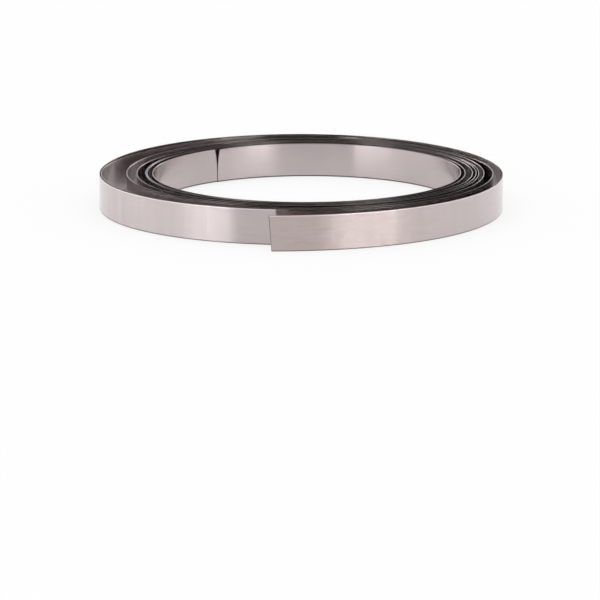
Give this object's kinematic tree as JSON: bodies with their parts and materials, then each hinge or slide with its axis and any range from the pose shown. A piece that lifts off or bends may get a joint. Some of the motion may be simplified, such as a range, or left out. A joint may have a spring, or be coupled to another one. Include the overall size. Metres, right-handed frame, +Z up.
{
  "type": "nickel-plated strip",
  "caption": "Loose flat coil of thin nickel-plated steel strip lying on its edge, with an open bore and a free square-cut outer end; cut to length for tabs and straps.",
  "frame": {"origin": "on the axis of the coil's bore, at the floor that the strip's lower edge rests on", "axes": "+Z up along the bore's axis, -Y to the front, where the free outer end lies, +X to the right as seen from the front"},
  "size_m": [0.0935, 0.0994, 0.008],
  "materials": {
    "nickel_plate": "cold-rolled steel with a bright satin nickel plate"
  },
  "bodies": {
    "root": {"strip": "nickel_plate"}
  },
  "joints": []
}
